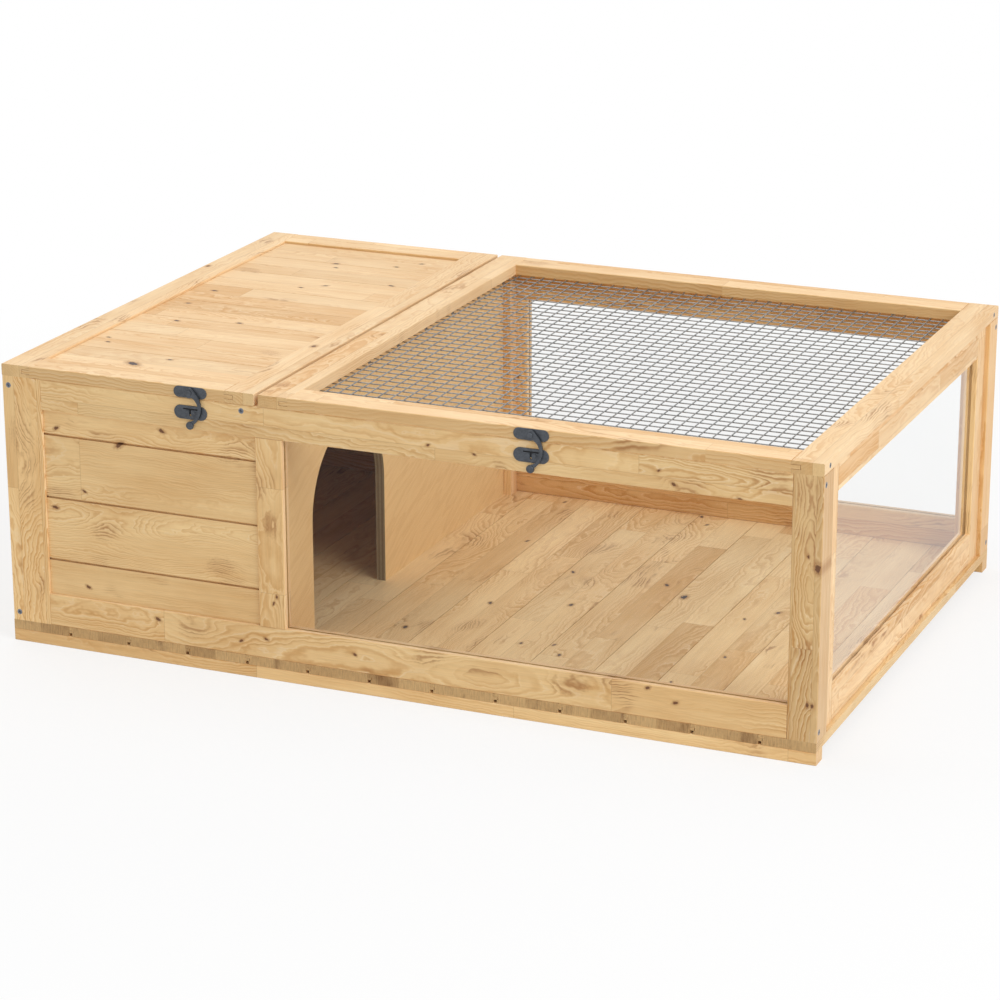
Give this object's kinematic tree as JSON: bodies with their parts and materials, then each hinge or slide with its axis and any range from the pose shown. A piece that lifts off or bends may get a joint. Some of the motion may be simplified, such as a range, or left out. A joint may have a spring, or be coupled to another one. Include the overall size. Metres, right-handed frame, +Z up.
{
  "type": "tortoise house",
  "caption": "Low timber tortoise house with a boarded shelter, an arched doorway, a clear-sided run and two hinged lids, one boarded and one of wire mesh.",
  "frame": {"origin": "centre of the footprint, on the ground under the skids", "axes": "+X to the right along the front, from the shelter to the run; +Y from the front to the hinged back; +Z up"},
  "size_m": [0.93, 0.6602, 0.3185],
  "materials": {
    "timber": "planed softwood, clear finish",
    "boards": "planed softwood boards, clear finish",
    "floor": "planed softwood boards, bare",
    "plywood": "sanded plywood",
    "clear_acrylic": "clear polished",
    "galvanised_wire": "galvanised",
    "black_metal": "satin black",
    "zinc_steel": "zinc plated"
  },
  "bodies": {
    "house": {"front_skid": "timber", "back_skid": "timber", "front_left_stile": "timber", "front_middle_stile": "timber", "front_right_post": "timber", "front_top_rail": "timber", "front_bottom_rail": "timber", "back_left_stile": "timber", "back_middle_stile": "timber", "back_right_post": "timber", "back_top_rail": "timber", "back_bottom_rail": "timber", "left_front_stile": "timber", "left_back_stile": "timber", "left_top_rail": "timber", "left_bottom_rail": "timber", "right_front_stile": "timber", "right_back_stile": "timber", "right_top_rail": "timber", "right_bottom_rail": "timber", "front_divider_cleat": "timber", "back_divider_cleat": "timber", "front_planks": "boards", "back_planks": "boards", "left_planks": "boards", "floor_boards": "floor", "divider": "plywood", "front_window": "clear_acrylic", "back_window": "clear_acrylic", "right_window": "clear_acrylic", "left_latch_keeper": "black_metal", "right_latch_keeper": "black_metal", "house_hinge_leaves": "zinc_steel", "hinge_pins": "zinc_steel", "frame_screws": "zinc_steel", "house_hinge_screws": "zinc_steel"},
    "left_lid": {"left_lid_left_stile": "timber", "left_lid_right_stile": "timber", "left_lid_front_rail": "timber", "left_lid_back_rail": "timber", "left_lid_planks": "boards", "left_latch_plate": "black_metal", "left_latch_rivet": "black_metal", "left_lid_hinge_leaves": "zinc_steel", "left_lid_screws": "zinc_steel", "left_lid_hinge_screws": "zinc_steel"},
    "right_lid": {"right_lid_left_stile": "timber", "right_lid_right_stile": "timber", "right_lid_front_rail": "timber", "right_lid_back_rail": "timber", "right_lid_mesh": "galvanised_wire", "mesh_staples": "galvanised_wire", "right_latch_plate": "black_metal", "right_latch_rivet": "black_metal", "right_lid_hinge_leaves": "zinc_steel", "right_lid_screws": "zinc_steel", "right_lid_hinge_screws": "zinc_steel"},
    "left_latch": {"left_latch_hook": "black_metal"},
    "right_latch": {"right_latch_hook": "black_metal"}
  },
  "joints": [
    {"name": "left_lid_hinge", "type": "hinge", "parent": "house", "child": "left_lid", "pos_m": [-0.3124, 0.3277, 0.3055], "axis": [-1, 0, 0], "range_deg": [0, 180]},
    {"name": "right_lid_hinge", "type": "hinge", "parent": "house", "child": "right_lid", "pos_m": [0.1551, 0.3277, 0.3055], "axis": [-1, 0, 0], "range_deg": [0, 180]},
    {"name": "left_latch_pivot", "type": "hinge", "parent": "left_lid", "child": "left_latch", "pos_m": [-0.2345, -0.3279, 0.312], "axis": [0, -1, 0], "range_deg": [0, 90]},
    {"name": "right_latch_pivot", "type": "hinge", "parent": "right_lid", "child": "right_latch", "pos_m": [0.1551, -0.3279, 0.312], "axis": [0, -1, 0], "range_deg": [0, 90]}
  ]
}
